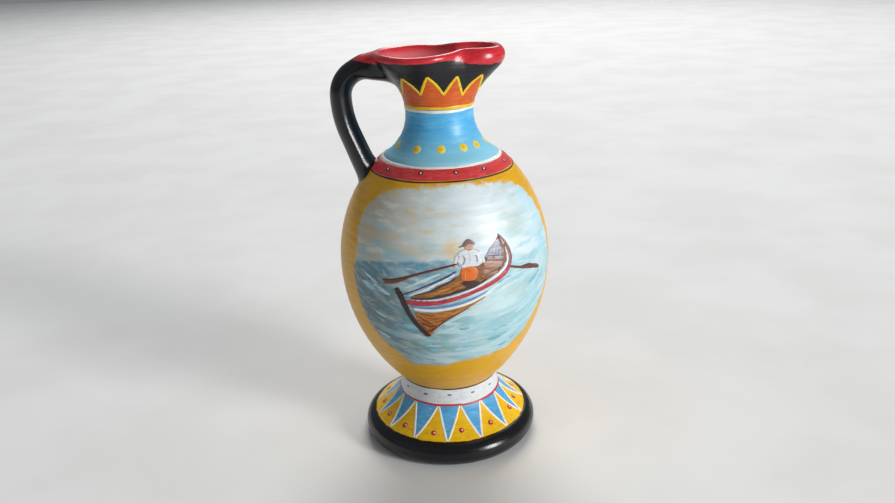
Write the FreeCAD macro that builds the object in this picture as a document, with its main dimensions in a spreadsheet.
"""Painted earthenware jug with a trefoil mouth, 202 mm tall.

The jug is made the way a potter makes it: a foot, a belly and a neck with its mouth are thrown
separately, a handle is pulled, and all four are luted together with thin layers of clay slip.

Row frame: millimetres, +Z up, origin on the jug's axis in the plane that it stands on.
+X points to the pouring spout and -X to the handle, so the jug is symmetric across the XZ plane.
"""
import FreeCAD, Part
import math
import os

import Sketcher
from FreeCAD import Placement, Rotation, Vector

DIMENSIONS = {
    # the standing ring and the foot
    "foot_bed_inner_radius": 35.5,
    "foot_bed_outer_radius": 41.6,
    "foot_ring_bulge": 6.5,
    "foot_ring_top_radius": 40.2,
    "foot_ring_top_height": 12.3,
    "foot_cone_hollow": 42.0,
    "foot_stem_base_radius": 26.2,
    "foot_stem_base_height": 24.9,
    "foot_top_radius": 25.4,
    "foot_top_height": 33.6,
    "foot_bore_radius": 13.0,
    "foot_bore_height": 25.0,
    "foot_inside_bulge": 30.0,
    # the belly
    "wall": 4.8,
    "belly_floor": 5.5,
    "belly_floor_radius": 23.4,
    "belly_radius": 52.4,
    "belly_middle_height": 99.0,
    "shoulder_radius": 34.6,
    "shoulder_height": 146.0,
    "collar_bulge": 29.3,
    "collar_radius": 29.6,
    "collar_height": 150.5,
    # the neck
    "slip": 0.5,
    "neck_radius": 16.3,
    "neck_height": 171.5,
    "neck_hollow": 22.9,
    "neck_wall": 4.4,
    # the mouth
    "lip_wall": 4.0,
    "spout_reach": 29.1,
    "spout_height": 200.2,
    "spout_lean": -50.0,
    "spout_pull_start": 17.2,
    "spout_pull_end": 8.7,
    "lobe_reach": 28.9,
    "lobe_height": 197.9,
    "lobe_lean": 30.0,
    "lobe_pull_start": 14.6,
    "lobe_pull_end": 10.0,
    "pinch_angle": 57.0,
    "pinch_depth": 12.2,
    "pinch_rise": 1.0,
    "pinch_width_spout": 28.0,
    "pinch_width_lobe": 50.0,
    # the handle
    "handle_top_height": 193.2,
    "handle_bend": 13.0,
    "handle_reach": 46.7,
    "handle_sweep": 50.0,
    "handle_slope": 20.5,
    "handle_tail": 29.0,
    "handle_root_width": 18.0,
    "handle_root_depth": 15.0,
    "handle_top_width": 15.5,
    "handle_top_depth": 10.6,
    "handle_grip_width": 13.0,
    "handle_grip_depth": 10.5,
    "handle_foot_width": 15.0,
    "handle_foot_depth": 11.9,
}
HANDLE_START_X = -19.0      # inside the wall of the mouth, where the bar is trimmed away
HANDLE_SECTIONS = 14        # ellipses along the handle
ROW_POINTS = 36             # points round each row of the neck's surface
FLARE_STEPS = 6             # sections up each side of the flare
NECK_ARC_STEPS = 4          # sections along each side of the neck's hollow curve
NECK_ARC_FROM, NECK_WAIST = 233.0, 180.0   # angles on that curve's circle, above joint and at waist
LEAN_FROM, LEAN_TO = 35.0, 100.0   # azimuths between which the lip turns from spout to lobe

doc = FreeCAD.newDocument("jug")


def make_sheet():
    """The spreadsheet with the driving dimensions, one named cell each."""
    cells = doc.addObject("Spreadsheet::Sheet", "Dimensions")
    for row, (alias, size) in enumerate(DIMENSIONS.items(), start=1):
        cells.set(f"A{row}", alias)
        cells.set(f"B{row}", str(size))
        cells.setAlias(f"B{row}", alias)
    doc.recompute()
    return cells


sheet = make_sheet()


def size_of(alias):
    return float(sheet.get(alias))


def worked_out(expression):
    """The value of an expression in the sheet's names, such as 'belly_radius - wall'."""
    return float(sheet.evalExpression(expression))


def bound(expression):
    """The same expression written for another object, with the sheet's name before each alias."""
    words = expression.split()
    return " ".join("Dimensions." + w if w in DIMENSIONS else w for w in words)


# ---------------------------------------------------------------- revolved clay and slip


def arc_centre(start, end, radius, side):
    """The centre of an arc from start to end; side 1 puts it to the left of that direction."""
    chord = end - start
    middle = (start + end) * 0.5
    left = Vector(-chord.y, chord.x, 0).normalize()
    return middle + left * side * math.sqrt(radius ** 2 - chord.Length ** 2 / 4)


def level_centre(start, end, height):
    """The centre, at a given height, of an arc through start and end."""
    middle, chord = (start + end) * 0.5, end - start
    x = middle.x - (height - middle.y) * chord.y / chord.x
    return Vector(x, height, 0)


def make_arc(start, end, centre):
    """The shorter arc from start to end, and whether it runs anticlockwise."""
    radius = (start - centre).Length
    towards = ((start + end) * 0.5 - centre).normalize()
    return Part.Arc(start, centre + towards * radius, end)


def revolved(label, corners, runs):
    """A body revolved about Z from a closed half section.

    corners: name to (x expression, z expression). runs: (from, to) for a straight line, or
    (from, to, "radius", expression, side) or (from, to, "centre_z", expression) for an arc.
    """
    body = doc.addObject("PartDesign::Body", label)
    body.Label = label
    plane = next(o for o in body.Origin.OriginFeatures if o.Role == "XZ_Plane")
    sketch = body.newObject("Sketcher::SketchObject", label + "_section")
    sketch.AttachmentSupport = (plane, "")
    sketch.MapMode = "FlatFace"

    points = {n: Vector(worked_out(x), worked_out(z), 0) for n, (x, z) in corners.items()}
    ends, names = [], {}
    for run in runs:
        start, end = points[run[0]], points[run[1]]
        if len(run) == 2:
            curve = Part.LineSegment(start, end)
        elif run[2] == "radius":
            curve = make_arc(start, end, arc_centre(start, end, worked_out(run[3]), run[4]))
        else:
            curve = make_arc(start, end, level_centre(start, end, worked_out(run[3])))
        geometry = sketch.addGeometry(curve, False)
        at_start = sketch.getPoint(geometry, 1)
        start_end = (1, 2) if (at_start - start).Length < 1e-6 else (2, 1)
        ends.append((geometry, *start_end))
        if len(run) > 2 and run[2] == "radius":
            names[f"arc_{run[0]}_{run[1]}"] = (
                Sketcher.Constraint("Radius", geometry, worked_out(run[3])), run[3])
        elif len(run) > 2:
            names[f"arc_{run[0]}_{run[1]}"] = (
                Sketcher.Constraint("DistanceY", -1, 1, geometry, 3, worked_out(run[3])), run[3])

    for i, (geometry, _, finish) in enumerate(ends):
        following, begin, _ = ends[(i + 1) % len(ends)]
        sketch.addConstraint(Sketcher.Constraint("Coincident", geometry, finish, following, begin))
    for (geometry, begin, _), run in zip(ends, runs):
        x, z = corners[run[0]]
        if x == "0":
            sketch.addConstraint(Sketcher.Constraint("PointOnObject", geometry, begin, -2))
        else:
            names[run[0] + "_x"] = (Sketcher.Constraint(
                "DistanceX", -1, 1, geometry, begin, worked_out(x)), x)
        if z == "0":
            sketch.addConstraint(Sketcher.Constraint("PointOnObject", geometry, begin, -1))
        else:
            names[run[0] + "_z"] = (Sketcher.Constraint(
                "DistanceY", -1, 1, geometry, begin, worked_out(z)), z)
    for name, (constraint, expression) in names.items():
        index = sketch.addConstraint(constraint)
        sketch.renameConstraint(index, name)
        sketch.setExpression("Constraints." + name, bound(expression))

    turned = body.newObject("PartDesign::Revolution", label + "_turned")
    turned.Profile = (sketch, [""])
    turned.ReferenceAxis = (sketch, ["V_Axis"])
    turned.Angle = 360.0
    body.Tip = turned
    return body


def make_foot():
    """The flared foot: a hollow trumpet with a rounded ring that the jug stands on."""
    return revolved(
        "foot",
        {
            "bed_in": ("foot_bed_inner_radius", "0"),
            "bed_out": ("foot_bed_outer_radius", "0"),
            "ring_top": ("foot_ring_top_radius", "foot_ring_top_height"),
            "stem_base": ("foot_stem_base_radius", "foot_stem_base_height"),
            "stem_top": ("foot_top_radius", "foot_top_height"),
            "bore_top": ("foot_bore_radius", "foot_top_height"),
            "bore_base": ("foot_bore_radius", "foot_bore_height"),
        },
        [
            ("bed_in", "bed_out"),
            ("bed_out", "ring_top", "radius", "foot_ring_bulge", 1),
            ("ring_top", "stem_base", "radius", "foot_cone_hollow", -1),
            ("stem_base", "stem_top"),
            ("stem_top", "bore_top"),
            ("bore_top", "bore_base"),
            ("bore_base", "bed_in", "radius", "foot_inside_bulge", -1),
        ],
    )


def make_foot_slip():
    """The ring of slip between the foot's flat top and the underside of the belly."""
    top = "foot_top_height + slip"
    return revolved(
        "foot_slip_joint",
        {
            "low_in": ("foot_bore_radius", "foot_top_height"),
            "low_out": ("foot_top_radius", "foot_top_height"),
            "high_out": ("foot_top_radius", top),
            "high_in": ("foot_bore_radius", top),
        },
        [("low_in", "low_out"), ("low_out", "high_out"),
         ("high_out", "high_in"), ("high_in", "low_in")],
    )


def shoulder_facts():
    """The centres of the shoulder's and the collar's arcs, and the way out of the wall at each."""
    wide = Vector(size_of("belly_radius"), size_of("belly_middle_height"), 0)
    shoulder = Vector(size_of("shoulder_radius"), size_of("shoulder_height"), 0)
    joint = Vector(size_of("collar_radius"), size_of("collar_height"), 0)
    centre = level_centre(shoulder, wide, wide.y)
    shoulder_out = (shoulder - centre).normalize()
    collar_centre = shoulder - shoulder_out * size_of("collar_bulge")
    return centre, shoulder_out, collar_centre, (joint - collar_centre).normalize()


def make_belly():
    """The belly: a closed floor, an egg-shaped wall, and a bevelled rim that takes the neck."""
    _, shoulder_out, _, outward = shoulder_facts()
    base = "foot_top_height + slip"
    return revolved(
        "belly",
        {
            "under": ("0", base),
            "base": ("foot_top_radius", base),
            "wide": ("belly_radius", "belly_middle_height"),
            "shoulder": ("shoulder_radius", "shoulder_height"),
            "rim_out": ("collar_radius", "collar_height"),
            "rim_in": (f"collar_radius - wall * {outward.x:.6f}",
                       f"collar_height - wall * {outward.y:.6f}"),
            "shoulder_in": (f"shoulder_radius - wall * {shoulder_out.x:.6f}",
                            f"shoulder_height - wall * {shoulder_out.y:.6f}"),
            "wide_in": ("belly_radius - wall", "belly_middle_height"),
            "floor_edge": ("belly_floor_radius", base + " + belly_floor"),
            "floor": ("0", base + " + belly_floor"),
        },
        [
            ("under", "base"),
            ("base", "wide", "centre_z", "belly_middle_height"),
            ("wide", "shoulder", "centre_z", "belly_middle_height"),
            ("shoulder", "rim_out", "radius", "collar_bulge", 1),
            ("rim_out", "rim_in"),
            ("rim_in", "shoulder_in", "radius", "collar_bulge - wall", -1),
            ("shoulder_in", "wide_in", "centre_z", "belly_middle_height"),
            ("wide_in", "floor_edge", "centre_z", "belly_middle_height"),
            ("floor_edge", "floor"),
            ("floor", "under"),
        ],
    )


def neck_joint():
    """The neck's lower edge, outside and inside: the belly's bevel moved up by the slip."""
    outward = shoulder_facts()[3]
    outside = Vector(size_of("collar_radius"), size_of("collar_height"), 0)
    inside = outside - outward * size_of("wall")
    lift = Vector(-outward.y, outward.x, 0) * size_of("slip")
    return outside + lift, inside + lift


def make_neck_slip():
    """The conical ring of slip between the belly's bevelled rim and the neck."""
    outward = shoulder_facts()[3]
    ox, oz = f"{outward.x:.6f}", f"{outward.y:.6f}"
    return revolved(
        "neck_slip_joint",
        {
            "low_out": ("collar_radius", "collar_height"),
            "low_in": (f"collar_radius - wall * {ox}", f"collar_height - wall * {oz}"),
            "high_in": (f"collar_radius - wall * {ox} - slip * {oz}",
                        f"collar_height - wall * {oz} + slip * {ox}"),
            "high_out": (f"collar_radius - slip * {oz}", f"collar_height + slip * {ox}"),
        },
        [("low_out", "high_out"), ("high_out", "high_in"),
         ("high_in", "low_in"), ("low_in", "low_out")],
    )


# ---------------------------------------------------------------- the neck and its mouth


def pinch_at(azimuth):
    """How far the potter's fingers pinch the rim at an azimuth in degrees, from 0 to 1."""
    def dent(from_centre):
        width = size_of("pinch_width_spout" if from_centre < 0 else "pinch_width_lobe")
        return math.exp(-(from_centre / width) ** 2)

    away = abs(azimuth)
    return dent(away - size_of("pinch_angle")) + dent(-away - size_of("pinch_angle"))


def lip_at(azimuth):
    """The lip at an azimuth: the middle of its wall, its outward lean in radians, its pulls."""
    turn = min(1.0, max(0.0, (abs(azimuth) - LEAN_FROM) / (LEAN_TO - LEAN_FROM)))
    lobe = turn * turn * (3 - 2 * turn)

    def blended(name):
        return size_of("spout_" + name) * (1 - lobe) + size_of("lobe_" + name) * lobe

    pinch = pinch_at(azimuth)
    point = Vector(blended("reach") - pinch * size_of("pinch_depth"),
                   blended("height") + pinch * size_of("pinch_rise"), 0)
    return point, math.radians(blended("lean")), (blended("pull_start"), blended("pull_end"))


def flare_point(azimuth, along, offset):
    """A point of the flare's wall: along 0 is the neck, 1 the lip; offset is out of its middle."""
    lip, lean, (pull_start, pull_end) = lip_at(azimuth)
    start = Vector(size_of("neck_radius") - size_of("neck_wall") / 2, size_of("neck_height"), 0)
    rise = Vector(math.sin(lean), math.cos(lean), 0)
    poles = [start, start + Vector(0, pull_start, 0), lip - rise * pull_end, lip]
    left = 1 - along
    weights = [left ** 3, 3 * left ** 2 * along, 3 * left * along ** 2, along ** 3]
    slopes = [3 * left ** 2, 6 * left * along, 3 * along ** 2]
    point = sum((p * w for p, w in zip(poles, weights)), Vector())
    run = sum(((b - a) * s for a, b, s in zip(poles, poles[1:], slopes)), Vector()).normalize()
    return point + Vector(run.y, -run.x, 0) * offset


def half_wall(along):
    return (size_of("neck_wall") * (1 - along) + size_of("lip_wall") * along) / 2


def bead_point(azimuth, turn, growth=0.0):
    """A point of the rounded edge of the lip: turn 0 is its outside and 180 its inside."""
    lip, lean, _ = lip_at(azimuth)
    angle = math.radians(turn) - lean
    return lip + Vector(math.cos(angle), math.sin(angle), 0) * (size_of("lip_wall") / 2 + growth)


def neck_arc_point(turn, offset):
    """A point of the neck's hollow curve; turn is the angle on its circle, 180 at the waist."""
    radius = size_of("neck_hollow") + offset
    centre = Vector(size_of("neck_radius") + size_of("neck_hollow"), size_of("neck_height"), 0)
    return centre + Vector(math.cos(math.radians(turn)), math.sin(math.radians(turn)), 0) * radius


def row_round(point_at):
    """Points evenly round the axis, where point_at(azimuth) gives a radius and a height."""
    points = []
    for i in range(ROW_POINTS):
        azimuth = 360.0 * i / ROW_POINTS
        point = point_at(azimuth if azimuth <= 180 else azimuth - 360)
        angle = math.radians(azimuth)
        points.append(Vector(point.x * math.cos(angle), point.x * math.sin(angle), point.y))
    return points


def smooth_sheet(rows):
    """A smooth face through rows of points: closed round the axis, open from row to row."""
    turns = [float(i) for i in range(ROW_POINTS + 1)]
    rings = []
    for row in rows:
        ring = Part.BSplineCurve()
        ring.interpolate(Points=row, PeriodicFlag=True, Parameters=turns)
        rings.append(ring)
    gaps = [sum(a.distanceToPoint(b) for a, b in zip(low, high)) / ROW_POINTS
            for low, high in zip(rows, rows[1:])]
    steps = [sum(gaps[:i]) for i in range(len(rows))]
    ribs = []
    for column in zip(*(ring.getPoles() for ring in rings)):
        rib = Part.BSplineCurve()
        rib.interpolate(Points=list(column), Parameters=steps)
        ribs.append(rib)
    sheet = Part.BSplineSurface()
    sheet.buildFromPolesMultsKnots(
        [rib.getPoles() for rib in ribs],
        rings[0].getMultiplicities(), ribs[0].getMultiplicities(),
        rings[0].getKnots(), ribs[0].getKnots(),
        True, False, rings[0].Degree, ribs[0].Degree)
    return sheet.toShape()


def rim_edges(face):
    """The two closed edges of a sheet, the lower one first."""
    loops = [edge for edge in face.Edges if edge.isClosed()]
    return sorted(loops, key=lambda edge: edge.CenterOfMass.z)


def neck_arc_angles():
    """Angles up the neck's curve, from just above its joint to just below its waist."""
    step = (NECK_ARC_FROM - NECK_WAIST) / NECK_ARC_STEPS
    return [NECK_ARC_FROM - step * i for i in range(NECK_ARC_STEPS)]


def make_neck_and_mouth():
    """The neck with its trefoil mouth, as one wall that turns over at the rounded lip."""
    outside, inside = neck_joint()
    wall = size_of("neck_wall")
    steps = [i / FLARE_STEPS for i in range(FLARE_STEPS + 1)]
    rows = [row_round(lambda a: outside)]
    for turn in neck_arc_angles():
        rows.append(row_round(lambda a, t=turn: neck_arc_point(t, 0)))
    for along in steps:
        rows.append(row_round(lambda a, s=along: flare_point(a, s, half_wall(s))))
    for turn in (45, 90, 135):
        rows.append(row_round(lambda a, t=turn: bead_point(a, t)))
    for along in reversed(steps):
        rows.append(row_round(lambda a, s=along: flare_point(a, s, -half_wall(s))))
    for turn in reversed(neck_arc_angles()):
        rows.append(row_round(lambda a, t=turn: neck_arc_point(t, wall)))
    rows.append(row_round(lambda a: inside))

    skin = smooth_sheet(rows)
    bevel = Part.makeRuledSurface(*rim_edges(skin))
    shell = Part.Shell([skin, *bevel.Faces])
    shell.sewShape()
    return as_feature("neck_and_mouth", as_solid(shell))


def as_solid(shell):
    solid = Part.Solid(shell)
    if solid.Volume < 0:
        solid.reverse()
    return solid


def as_feature(label, shape):
    feature = doc.addObject("Part::Feature", label)
    feature.Label = label
    feature.Shape = shape
    return feature


# ---------------------------------------------------------------- the handle


def mouth_plug(label, growth):
    """The mouth's outer shape as a full plug, grown by growth, to trim the handle against."""
    steps = [i / FLARE_STEPS for i in range(FLARE_STEPS + 1)]
    rows = [row_round(lambda a, s=s: flare_point(a, s, half_wall(s) + growth)) for s in steps]
    for turn in (45, 90):
        rows.append(row_round(lambda a, t=turn: bead_point(a, t, growth)))
    top = size_of("spout_height") + 2 * size_of("lip_wall")
    rows.append(row_round(lambda a: Vector(bead_point(a, 90, growth).x, top, 0)))
    skin = smooth_sheet(rows)
    caps = [Part.Face(Part.Wire(edge)) for edge in rim_edges(skin)]
    shell = Part.Shell([skin, *caps])
    shell.sewShape()
    return as_feature(label, as_solid(shell))


def shoulder_plug(label, growth):
    """The belly's shoulder as a full plug, grown by growth, to trim the handle against."""
    shoulder = Vector(size_of("shoulder_radius"), size_of("shoulder_height"), 0)
    wide = Vector(size_of("belly_radius"), size_of("belly_middle_height"), 0)
    rim = Vector(size_of("collar_radius"), size_of("collar_height"), 0)
    centre, shoulder_out, collar_centre, rim_out = shoulder_facts()
    grown = [p + out * growth for p, out in
             ((wide, Vector(1, 0, 0)), (shoulder, shoulder_out), (rim, rim_out))]
    arcs = [make_arc(grown[0], grown[1], centre), make_arc(grown[1], grown[2], collar_centre)]
    on_axis = [Vector(0, grown[2].y, 0), Vector(0, grown[0].y, 0)]
    edges = [a.toShape() for a in arcs]
    for start, end in ((grown[2], on_axis[0]), (on_axis[0], on_axis[1]), (on_axis[1], grown[0])):
        edges.append(Part.LineSegment(start, end).toShape())
    face = Part.Face(Part.Wire(edges))
    face.rotate(Vector(), Vector(1, 0, 0), 90)
    return as_feature(label, face.revolve(Vector(), Vector(0, 0, 1), 360))


def handle_line():
    """The stretches of the handle's middle line, from the mouth to the shoulder, with lengths."""
    bend, sweep = size_of("handle_bend"), size_of("handle_sweep")
    level = size_of("handle_reach") - bend + HANDLE_START_X
    slope = math.radians(size_of("handle_slope"))
    return [("level", level), ("bend", bend * math.pi / 2),
            ("sweep", sweep * slope), ("tail", size_of("handle_tail"))]


def handle_place(run):
    """The place at a distance along the middle line: x, z and the heading below level."""
    bend, sweep = size_of("handle_bend"), size_of("handle_sweep")
    top, reach = size_of("handle_top_height"), size_of("handle_reach")
    slope = math.radians(size_of("handle_slope"))
    (_, level), (_, bend_run), (_, sweep_run), _ = handle_line()
    if run <= level:
        return HANDLE_START_X - run, top, 0.0
    run -= level
    if run <= bend_run:
        turn = run / bend
        return -reach + bend - bend * math.sin(turn), top - bend + bend * math.cos(turn), turn
    run -= bend_run
    turn = min(run / sweep, slope)
    tail = max(0.0, run - sweep_run)
    x = -reach + sweep * (1 - math.cos(turn)) + tail * math.sin(turn)
    z = top - bend - sweep * math.sin(turn) - tail * math.cos(turn)
    return x, z, math.pi / 2 + turn


def section_sizes(run):
    """The expressions for a handle section's width and depth at a distance along it."""
    level, bend, sweep, tail = (length for _, length in handle_line())
    marks = [(0.0, "root"), (level, "top"), (level + bend, "grip"),
             (level + bend + sweep / 2, "grip"), (level + bend + sweep + tail, "foot")]
    for (start, before), (finish, after) in zip(marks, marks[1:]):
        if run <= finish:
            break
    share = min(1.0, (run - start) / (finish - start))
    return [f"handle_{before}_{side} * {1 - share:.3f} + handle_{after}_{side} * {share:.3f}"
            for side in ("width", "depth")]


def make_handle_bar():
    """The pulled handle before it is trimmed: a loft through ellipses along its middle line."""
    length = sum(run for _, run in handle_line())
    rings = []
    for index in range(HANDLE_SECTIONS):
        run = length * index / (HANDLE_SECTIONS - 1)
        x, z, heading = handle_place(run)
        ring = doc.addObject("Part::Ellipse", f"handle_section_{index}")
        width, depth = section_sizes(run)
        ring.setExpression("MajorRadius", f"({bound(width)}) / 2")
        ring.setExpression("MinorRadius", f"({bound(depth)}) / 2")
        forward = Vector(-math.cos(heading), 0, -math.sin(heading))
        across = Vector(0, 1, 0)
        ring.Placement = Placement(Vector(x, 0, z),
                                   Rotation(across, forward.cross(across), forward, "ZXY"))
        rings.append(ring)
    bar = doc.addObject("Part::Loft", "handle_bar")
    bar.Sections = rings
    bar.Solid = True
    bar.MaxDegree = 3
    return bar


def boolean(kind, label, base, tool):
    made = doc.addObject("Part::" + kind, label)
    made.Label = label
    made.Base, made.Tool = base, tool
    return made


def make_handle_parts():
    """The handle trimmed to the wall, and the slip under each of its ends."""
    slip = size_of("slip")
    bar = make_handle_bar()
    mouth, mouth_grown = mouth_plug("mouth_plug", 0), mouth_plug("mouth_plug_grown", slip)
    belly, belly_grown = shoulder_plug("belly_plug", 0), shoulder_plug("belly_plug_grown", slip)
    topped = boolean("Cut", "handle_topped", bar, mouth_grown)
    handle = boolean("Cut", "handle", topped, belly_grown)
    pads = []
    for label, inner, outer in (("handle_top_slip_joint", mouth, mouth_grown),
                                ("handle_base_slip_joint", belly, belly_grown)):
        blank = boolean("Cut", label + "_blank", bar, inner)
        pads.append(boolean("Common", label, blank, outer))
    return [handle, *pads]


# ---------------------------------------------------------------- check and write


def check_and_write(parts):
    doc.recompute()
    for item in doc.Objects:
        if {"Invalid", "Error"} & set(item.State):
            raise RuntimeError(f"{item.Label} failed: {item.State}")
    os.makedirs("parts", exist_ok=True)
    for part in parts:
        shape = part.Shape
        if shape.isNull() or not shape.isValid() or not shape.Solids:
            raise RuntimeError(f"{part.Label} has no valid solid")
        shape.exportStep(f"parts/{part.Label}.step")
        box = shape.BoundBox
        print(f"{part.Label}: {len(shape.Solids)} solid, {shape.Volume / 1000:.2f} cm3, "
              f"x {box.XMin:.1f} {box.XMax:.1f}, y {box.YMin:.1f} {box.YMax:.1f}, "
              f"z {box.ZMin:.1f} {box.ZMax:.1f}")


check_and_write([
    make_foot(),
    make_foot_slip(),
    make_belly(),
    make_neck_slip(),
    make_neck_and_mouth(),
    *make_handle_parts(),
])
